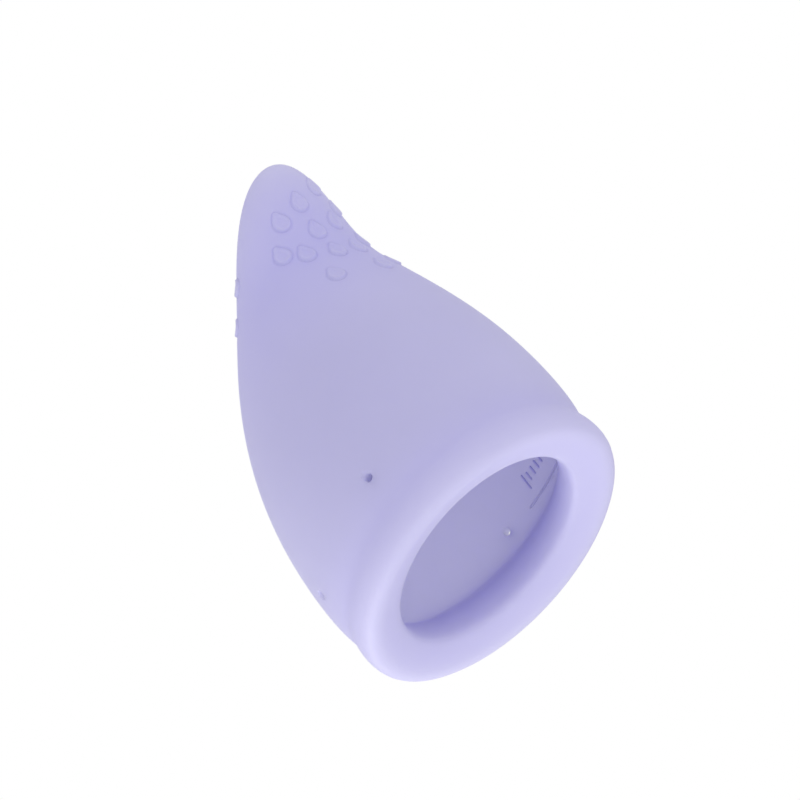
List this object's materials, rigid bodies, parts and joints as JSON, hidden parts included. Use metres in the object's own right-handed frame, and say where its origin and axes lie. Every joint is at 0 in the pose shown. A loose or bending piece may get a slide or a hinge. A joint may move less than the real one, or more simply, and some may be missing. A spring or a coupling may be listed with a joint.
{
  "type": "menstrual cup",
  "caption": "One-piece silicone cup with a thick rounded rim, small vent holes, a slanted bowl and a solid curved grip tip with raised drops.",
  "frame": {"origin": "centre of the mouth, in the plane of the rim's flat face", "axes": "+Z from the rim towards the grip tip, +X towards the side that the tip leans to; the XZ plane is the mirror plane of the bowl"},
  "size_m": [0.0503, 0.045, 0.0594],
  "materials": {
    "silicone": "matte, slightly translucent lavender silicone"
  },
  "bodies": {
    "bowl": {"rim_bead": "silicone", "vent_band": "silicone", "bowl_wall": "silicone", "bowl_dome": "silicone", "flex_neck": "silicone", "fill_line": "silicone", "fill_ticks": "silicone", "dome_drops": "silicone", "neck_drops_front": "silicone", "neck_drops_back": "silicone"},
    "grip": {"grip_tip": "silicone", "grip_drops_front": "silicone", "grip_drops_back": "silicone", "grip_drops_side": "silicone"}
  },
  "joints": [
    {"name": "grip_flex", "type": "hinge", "parent": "bowl", "child": "grip", "pos_m": [0.0095, 0, 0.0425], "axis": [0, 1, 0], "range_deg": [-15, 15], "stiffness_Nm_per_rad": 0.5, "deforming": ["flex_neck", "neck_drops_front", "neck_drops_back"]}
  ]
}
